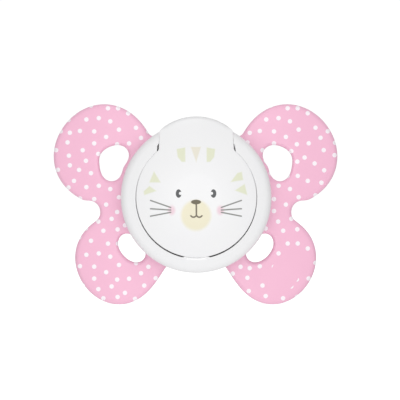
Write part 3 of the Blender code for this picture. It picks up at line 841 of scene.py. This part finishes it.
def end_x(radius):
    """Where the ring stops beside the tab: close along the ear, wider at the slot by its inner corner."""
    z = np.sqrt(radius**2 - TAB_HALF_WIDTH_LOW**2)
    slot_end = RING_LIP_RADIUS + SLOT_REACH
    slot = 1 - smoothstep(radius, slot_end - SLOT_CLOSES_OVER, slot_end)
    return tab_half_width(z) + TAB_GAP + SLOT_WIDTH * slot


def within_ear(points, hinge):
    """Depths pulled in above the hinge, so that the ears are round about it and can turn."""
    rise = points[:, 2] - hinge.z
    reach = np.where(rise > 0, np.sqrt(np.clip(EAR_RADIUS**2 - rise**2, 0, None)), np.inf)
    points[:, 1] = np.clip(points[:, 1], hinge.y - reach, hinge.y + reach)
    return points


def turn_to(x, radius, share):
    """Angle on a circle at a share of the way from straight down to where the circle is at x."""
    return -math.pi / 2 + (math.pi / 2 + np.arccos(x / radius)) * share


def ring_row(section, share, hinge):
    """The section at a place along the ring, from share 1 at its right end to -1 at its left end."""
    shape = thumb_lip(section, turn_to(end_x(RING_LIP_RADIUS), RING_LIP_RADIUS, share))
    radius = shape[:, 0]
    angle = turn_to(end_x(radius) + RING_END_ROUND, radius, share)
    return within_ear(np.column_stack([radius * np.cos(angle), shape[:, 1], radius * np.sin(angle)]), hinge)


def ring_end_row(section, side, distance, advance, hinge):
    """The section drawn in by a distance, for the rounded edge of the ring's end beside the tab."""
    shape = inset(section, distance)
    x = end_x(shape[:, 0]) + RING_END_ROUND - advance
    z = np.sqrt(shape[:, 0] ** 2 - x**2)
    return within_ear(np.column_stack([side * x, shape[:, 1], z]), hinge)


def ring_rows(hinge):
    """Rows of points from the ring's right end, round its bottom, to its left end."""
    section = ring_section()
    end_steps = quarter_round(RING_END_ROUND, steps=4)
    for distance, drop in end_steps:
        yield ring_end_row(section, 1, distance, RING_END_ROUND - drop, hinge)
    for i in range(1, RING_STEPS):
        yield ring_row(section, 1 - 2 * i / RING_STEPS, hinge)
    for distance, drop in reversed(end_steps):
        yield ring_end_row(section, -1, distance, RING_END_ROUND - drop, hinge)


def make_ring_handle(hinge, material):
    bm = bmesh.new()
    rows = [[bm.verts.new(point) for point in points] for points in ring_rows(hinge)]
    bridge(bm, rows)
    for row in (rows[0], rows[-1]):
        cap = bm.faces.new(row)
        bmesh.ops.triangulate(bm, faces=[cap])
    ring = object_from_bmesh(bm, "ring_handle_fine", material)
    combine(ring, "UNION", hinge_rods("pivot", hinge, PIVOT_ROOT_X, PIVOT_REACH_X, PIVOT_RADIUS))
    finish_piece(ring, "handle", "ring_handle")


# ---- node arithmetic


class Number:
    """A number in a node tree. Arithmetic on it adds Math nodes."""

    def __init__(self, tree, socket):
        self.tree = tree
        self.socket = socket

    def math(self, operation, *others):
        node = self.tree.nodes.new("ShaderNodeMath")
        node.operation = operation
        for place, value in zip(node.inputs, (self, *others)):
            if isinstance(value, Number):
                self.tree.links.new(value.socket, place)
            else:
                place.default_value = value
        return Number(self.tree, node.outputs[0])

    def __add__(self, other):
        return self.math("ADD", other)

    def __sub__(self, other):
        return self.math("SUBTRACT", other)

    def __mul__(self, other):
        return self.math("MULTIPLY", other)

    def __truediv__(self, other):
        return self.math("DIVIDE", other)

    def least(self, other):
        return self.math("MINIMUM", other)

    def most(self, other):
        return self.math("MAXIMUM", other)

    def length_with(self, other):
        return (self * self + other * other).math("SQRT")

    def size(self):
        return self.math("ABSOLUTE")


def place_in_mm(tree):
    """The surface point's x and z in mm."""
    coordinates = tree.nodes.new("ShaderNodeTexCoord")
    split = tree.nodes.new("ShaderNodeSeparateXYZ")
    tree.links.new(coordinates.outputs["Object"], split.inputs[0])
    return Number(tree, split.outputs["X"]) / MM, Number(tree, split.outputs["Z"]) / MM


def ellipse(x, z, centre, half, turn=0.0):
    """Distance outside an ellipse, in mm, exact for a circle."""
    cos, sin = math.cos(math.radians(turn)), math.sin(math.radians(turn))
    across, up = x - centre[0], z - centre[1]
    along = across * cos + up * sin
    aside = up * cos - across * sin
    return ((along / half[0]).length_with(aside / half[1]) - 1.0) * min(half)


def stroke(x, z, start, end, half_width):
    """Distance outside a round-ended line."""
    run, rise = end[0] - start[0], end[1] - start[1]
    length_squared = run * run + rise * rise
    across, up = x - start[0], z - start[1]
    share = ((across * run + up * rise) / length_squared).most(0.0).least(1.0)
    return (across - share * run).length_with(up - share * rise) - half_width


def smile(x, z, centre, radius, half_width):
    """Distance outside the lower half of a circle drawn as a line."""
    line = ((x - centre[0]).length_with(z - centre[1]) - radius).size() - half_width
    return line.most(z - centre[1] + SMILE_CUT)


def polygon(x, z, corners, rounding):
    """Distance outside a convex polygon with anticlockwise corners, swollen by the rounding."""
    reach = None
    for (ax, az), (bx, bz) in zip(corners, corners[1:] + corners[:1]):
        length = math.hypot(bx - ax, bz - az)
        out_x, out_z = (bz - az) / length, (ax - bx) / length
        side = x * out_x + z * out_z - (ax * out_x + az * out_z)
        reach = side if reach is None else reach.most(side)
    return reach - rounding


def printed(distance, softness):
    """1 inside a shape and 0 outside it, with an edge as wide as the softness."""
    node = distance.tree.nodes.new("ShaderNodeMapRange")
    node.interpolation_type = "SMOOTHSTEP"
    distance.tree.links.new(distance.socket, node.inputs["Value"])
    node.inputs["From Min"].default_value = softness / 2
    node.inputs["From Max"].default_value = -softness / 2
    return Number(distance.tree, node.outputs["Result"])


def painted(tree, under, ink, amount):
    """The colour socket of an ink mixed over another colour."""
    node = tree.nodes.new("ShaderNodeMix")
    node.data_type = "RGBA"
    tree.links.new(amount.socket, node.inputs["Factor"])
    for name, colour in (("A", under), ("B", ink)):
        socket = next(place for place in node.inputs if place.name == name and place.type == "RGBA")
        if isinstance(colour, tuple):
            socket.default_value = colour
        else:
            tree.links.new(colour, socket)
    return next(place for place in node.outputs if place.type == "RGBA")


# ---- materials


def linear(red, green, blue):
    """A linear colour from 0-255 display values."""
    values = []
    for value in (red, green, blue):
        value /= 255
        values.append(value / 12.92 if value <= 0.04045 else ((value + 0.055) / 1.055) ** 2.4)
    return (*values, 1.0)


PINK = linear(250, 193, 218)
PINK_DEEP = linear(247, 189, 215)
DOT_WHITE = linear(255, 248, 253)
PLASTIC_WHITE = linear(245, 245, 245)
PLASTIC_WHITE_COOL = linear(243, 243, 245)
# Pure white for the highlight painted on the ring's chamfer under the cover's edge.
HIGHLIGHT_WHITE = linear(255, 255, 255)
INK_EYE = linear(80, 82, 84)
INK_NOSE = linear(105, 98, 76)
INK_MOUTH = linear(112, 103, 84)
INK_WHISKER = linear(138, 139, 136)
INK_MUZZLE = linear(239, 233, 206)
INK_STRIPE = linear(230, 233, 207)
INK_STRIPE_WARM = linear(236, 231, 216)
INK_BLUSH = linear(240, 212, 222)
CLEAR_TINT = linear(247, 247, 243)
LIGHT_WHITE = (1.0, 1.0, 1.0, 1.0)
CLOUD_SCALE = 160.0  # per metre


def set_inputs(node, values):
    for name, value in values.items():
        node.inputs[name].default_value = value


def noise(tree, scale, detail):
    coordinates = tree.nodes.new("ShaderNodeTexCoord")
    node = tree.nodes.new("ShaderNodeTexNoise")
    set_inputs(node, {"Scale": scale, "Detail": detail})
    tree.links.new(coordinates.outputs["Object"], node.inputs["Vector"])
    return node


def moulded(name, roughness, colour_pair=None, grain=900.0, grain_height=0.004 * MM):
    """A material and its shader: two close colours in soft clouds, uneven roughness and a fine grain."""
    material = bpy.data.materials.new(name)
    material.use_nodes = True
    tree = material.node_tree
    shader = tree.nodes["Principled BSDF"]
    set_inputs(shader, {"Metallic": 0.0, "IOR": 1.49})
    clouds = noise(tree, CLOUD_SCALE, detail=3.0)
    gloss = tree.nodes.new("ShaderNodeMapRange")
    set_inputs(gloss, {"To Min": roughness - 0.04, "To Max": roughness + 0.05})
    tree.links.new(clouds.outputs["Fac"], gloss.inputs["Value"])
    tree.links.new(gloss.outputs["Result"], shader.inputs["Roughness"])
    fine = noise(tree, grain, detail=2.0)
    bump = tree.nodes.new("ShaderNodeBump")
    set_inputs(bump, {"Strength": 0.25, "Distance": grain_height})
    tree.links.new(fine.outputs["Fac"], bump.inputs["Height"])
    tree.links.new(bump.outputs["Normal"], shader.inputs["Normal"])
    if colour_pair:
        colour = painted(tree, *colour_pair, Number(tree, clouds.outputs["Fac"]))
        tree.links.new(colour, shader.inputs["Base Color"])
    return material, shader


def white_plastic(name):
    return moulded(name, 0.3, colour_pair=(PLASTIC_WHITE, PLASTIC_WHITE_COOL))


def pink_plastic(name):
    return moulded(name, 0.33, colour_pair=(PINK, PINK_DEEP))


def dot_distance(tree):
    """Distance in mm from the nearest polka dot's centre, over the repeating scatter."""
    x, z = place_in_mm(tree)
    x, z = x - DOT_SHIFT[0], z - DOT_SHIFT[1]
    join = tree.nodes.new("ShaderNodeCombineXYZ")
    tree.links.new(x.socket, join.inputs["X"])
    tree.links.new(z.socket, join.inputs["Y"])
    half = [size / 2 for size in DOT_REPEAT]
    nearest = None
    for dot_x, dot_z in DOTS:
        wrap = tree.nodes.new("ShaderNodeVectorMath")
        wrap.operation = "WRAP"
        tree.links.new(join.outputs[0], wrap.inputs[0])
        wrap.inputs[1].default_value = (dot_x + half[0], dot_z + half[1], 1.0)
        wrap.inputs[2].default_value = (dot_x - half[0], dot_z - half[1], -1.0)
        away = tree.nodes.new("ShaderNodeVectorMath")
        away.operation = "DISTANCE"
        tree.links.new(wrap.outputs[0], away.inputs[0])
        away.inputs[1].default_value = (dot_x, dot_z, 0.0)
        distance = Number(tree, away.outputs["Value"])
        nearest = distance if nearest is None else nearest.least(distance)
    return nearest


def dotted_pink_plastic():
    material, shader = pink_plastic("pink_plastic_dotted")
    tree = material.node_tree
    pink = shader.inputs["Base Color"].links[0].from_socket
    x, z = place_in_mm(tree)
    dots = printed(dot_distance(tree) - DOT_DIAMETER / 2, 0.1)
    beyond_patch = printed(ellipse(x, z, *PLAIN_PATCH) * -1.0, 0.05)
    colour = painted(tree, pink, DOT_WHITE, dots * beyond_patch)
    tree.links.new(colour, shader.inputs["Base Color"])
    return material


def both_sides(corners):
    """The corners of a shape on the right and of its mirror image on the left, both anticlockwise."""
    return corners, [(-x, z) for x, z in corners[::-1]]


def kitten_inks(x, z):
    """Each printed shape as (distance outside it, softness of its edge, ink), lowest layer first. In mm."""
    x, z = x - PRINT_CENTRE[0], z - PRINT_CENTRE[1]
    brow = [(2.45, 7.8), (3.05, 7.8), (3.85, 8.8), (4.05, 10.35), (2.45, 10.65)]
    for corners in both_sides(brow):
        yield polygon(x, z, corners, 0.12), 0.3, INK_STRIPE
    yield polygon(x, z, [(0.04, 8.1), (0.85, 10.75), (-0.9, 10.75)], 0.15), 0.35, INK_STRIPE_WARM
    temples = (
        [(-9.9, 3.35), (-7.95, 3.35), (-9.1, 5.25)],
        [(-11.1, 0.65), (-8.95, 1.4), (-10.1, 2.2), (-11.2, 1.2)],
        [(7.9, 3.5), (10.1, 3.85), (9.85, 5.3), (9.1, 5.1)],
        [(8.8, 1.5), (10.95, 0.7), (10.5, 2.6)],
    )
    for corners in temples:
        yield polygon(x, z, corners, 0.15), 0.35, INK_STRIPE
    yield ellipse(x, z, (0.0, -3.95), (3.25, 3.3)), 1.0, INK_MUZZLE
    for side in (-1, 1):
        yield ellipse(x, z, (side * 5.3, -2.85), (0.75, 0.95)), 0.8, INK_BLUSH
        for start_z, end_z in ((-2.24, -0.72), (-2.8, -2.53), (-3.3, -4.15)):
            start, end = (side * 5.5, start_z), (side * 9.88, end_z)
            yield stroke(x, z, start, end, WHISKER_HALF_WIDTH), 0.1, INK_WHISKER
        yield smile(x, z, (side * 0.63 + 0.08, -3.7), 0.65, MOUTH_HALF_WIDTH), 0.1, INK_MOUTH
        eye = ellipse(x, z, (side * 3.79, 0.79), (0.62, 0.92))
        glint = ellipse(x, z, (side * 3.4, 0.83), (0.31, 0.33))
        yield eye.most(glint * -1.0), 0.06, INK_EYE
    yield stroke(x, z, (0.06, -1.5), (0.08, -3.85), MOUTH_HALF_WIDTH), 0.1, INK_MOUTH
    yield polygon(x, z, [(0.0, -1.55), (0.6, -1.2), (-0.6, -1.2)], 0.12), 0.1, INK_NOSE
    yield ellipse(x, z, (0.0, -1.05), (1.1, 0.5)), 0.08, INK_NOSE


def printed_white_plastic():
    """The white plastic with the kitten's face on it."""
    material, shader = white_plastic("white_plastic_printed")
    tree = material.node_tree
    colour = shader.inputs["Base Color"].links[0].from_socket
    x, z = place_in_mm(tree)
    for distance, softness, ink in kitten_inks(x, z):
        colour = painted(tree, colour, ink, printed(distance, softness))
    tree.links.new(colour, shader.inputs["Base Color"])
    return material


def ring_plastic_with_painted_highlight():
    """The white plastic, with a painted highlight: a strip under the cover's edge at the bottom painted
    pure white.
    """
    material, shader = white_plastic("white_plastic_ring_painted_highlight")
    tree = material.node_tree
    white = shader.inputs["Base Color"].links[0].from_socket
    x, z = place_in_mm(tree)
    radius = x.length_with(z)
    # Painted highlight: a strip along the thumb chamfer painted pure white, standing in for light catching
    # it.
    across = (radius - THUMB_HIGHLIGHT_RADIUS).size() - THUMB_HIGHLIGHT_WIDTH / 2
    along = x.size() - THUMB_HIGHLIGHT_HALF_LENGTH
    below = z + THUMB_HIGHLIGHT_RADIUS / 2
    highlight_mask = printed(across.most(along).most(below), 0.1)
    colour = painted(tree, white, HIGHLIGHT_WHITE, highlight_mask)
    tree.links.new(colour, shader.inputs["Base Color"])
    return material


def clear_silicone():
    material, shader = moulded("clear_silicone", 0.18, grain=600.0, grain_height=0.01 * MM)
    set_inputs(shader, {"Base Color": CLEAR_TINT, "Transmission Weight": 1.0, "IOR": 1.41})
    return material


# ---- floor, light and camera


def make_floor(lowest):
    bm = bmesh.new()
    bmesh.ops.create_circle(bm, cap_ends=True, segments=96, radius=FLOOR_RADIUS)
    floor = object_from_bmesh(bm, "studio_floor")
    floor.location.z = lowest
    material = bpy.data.materials.new("studio_floor_white")
    material.use_nodes = True
    shader = material.node_tree.nodes["Principled BSDF"]
    set_inputs(shader, {"Base Color": (0.95, 0.95, 0.95, 1.0), "Roughness": 0.9, "Specular IOR Level": 0.0})
    set_inputs(shader, {"Emission Color": LIGHT_WHITE, "Emission Strength": 0.6})
    floor.data.materials.append(material)
    floor.visible_diffuse = False
    floor.visible_glossy = False


def make_world():
    """Plain white for the camera, and soft light for the object that is strongest from the front."""
    world = bpy.data.worlds.new("studio")
    bpy.context.scene.world = world
    world.use_nodes = True
    tree = world.node_tree
    light = tree.nodes["Background"]
    coordinates = tree.nodes.new("ShaderNodeTexCoord")
    split = tree.nodes.new("ShaderNodeSeparateXYZ")
    tree.links.new(coordinates.outputs["Generated"], split.inputs[0])
    sideways = Number(tree, split.outputs["X"])
    forwards = Number(tree, split.outputs["Y"]) * -1.0
    upwards = Number(tree, split.outputs["Z"])
    backwards = forwards * -1.0
    strength = forwards * LIGHT_FORWARDS + LIGHT_EVEN - sideways * sideways * LIGHT_SIDES
    strength = strength + upwards * upwards * LIGHT_POLES - upwards * LIGHT_BELOW
    strength = strength + backwards.most(0.0) * LIGHT_BEHIND
    strength = strength + printed(backwards + PANEL_EDGE, PANEL_SOFTNESS) * PANEL_STRENGTH
    light.inputs["Color"].default_value = LIGHT_WHITE
    tree.links.new(strength.socket, light.inputs["Strength"])
    backdrop = tree.nodes.new("ShaderNodeBackground")
    set_inputs(backdrop, {"Color": LIGHT_WHITE, "Strength": BACKDROP_STRENGTH})
    seen = tree.nodes.new("ShaderNodeLightPath")
    pick = tree.nodes.new("ShaderNodeMixShader")
    tree.links.new(seen.outputs["Is Camera Ray"], pick.inputs["Fac"])
    tree.links.new(light.outputs[0], pick.inputs[1])
    tree.links.new(backdrop.outputs[0], pick.inputs[2])
    tree.links.new(pick.outputs[0], tree.nodes["World Output"].inputs["Surface"])


def add_softbox(name, place, size, power):
    lamp = bpy.data.lights.new(name, "AREA")
    lamp.shape = "DISK"
    lamp.size = size
    lamp.energy = power
    lamp.color = (1.0, 0.99, 0.98)
    box = bpy.data.objects.new(name, lamp)
    box.location = place
    box.rotation_euler = (-Vector(place)).to_track_quat("-Z", "Y").to_euler()
    bpy.context.scene.collection.objects.link(box)


def make_camera():
    """A long lens almost square to the knob's face, so that the object is drawn at nearly one scale."""
    camera = bpy.data.cameras.new("camera")
    camera.sensor_width = SENSOR_WIDTH
    camera.lens = SENSOR_WIDTH * (CAMERA_DISTANCE + EXACT_DEPTH) / SEEN_WIDTH
    camera.clip_start, camera.clip_end = 0.1, 10.0
    holder = bpy.data.objects.new("camera", camera)
    aside, down = math.sin(math.radians(VIEW_TURN)), math.sin(math.radians(VIEW_DROP))
    towards = Vector((aside, 1.0, -down)).normalized()
    holder.location = Vector(LOOK_AT) - towards * CAMERA_DISTANCE
    holder.rotation_euler = towards.to_track_quat("-Z", "Y").to_euler()
    bpy.context.scene.collection.objects.link(holder)
    bpy.context.scene.camera = holder


def set_view():
    view = bpy.context.scene.view_settings
    view.view_transform = "Standard"
    view.look = "None"
    view.exposure = 0.0
    view.gamma = 1.0


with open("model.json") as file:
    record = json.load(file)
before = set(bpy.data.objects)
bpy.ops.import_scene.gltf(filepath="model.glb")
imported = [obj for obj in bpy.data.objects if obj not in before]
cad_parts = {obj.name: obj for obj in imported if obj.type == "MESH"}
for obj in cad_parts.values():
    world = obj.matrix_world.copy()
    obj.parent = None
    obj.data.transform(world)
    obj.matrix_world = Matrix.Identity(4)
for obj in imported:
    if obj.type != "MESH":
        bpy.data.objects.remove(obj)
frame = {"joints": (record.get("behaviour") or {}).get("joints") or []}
cad_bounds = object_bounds()
hinge = Vector(next(joint["pos_m"] for joint in frame["joints"] if joint["name"] == "handle_hinge"))

white, _ = white_plastic("white_plastic_satin")
pink, _ = pink_plastic("pink_plastic_satin")
make_shield(dotted_pink_plastic(), pink)
make_teat(clear_silicone())
make_teat_plug(white)
make_knob_base(hinge, white)
make_face_cover(printed_white_plastic(), white)
make_ring_handle(hinge, ring_plastic_with_painted_highlight())

make_floor(cad_bounds[0].z)
make_world()
add_softbox("key_light", place=(-0.1, -0.35, 0.85), size=0.4, power=0.7)
make_camera()
set_view()
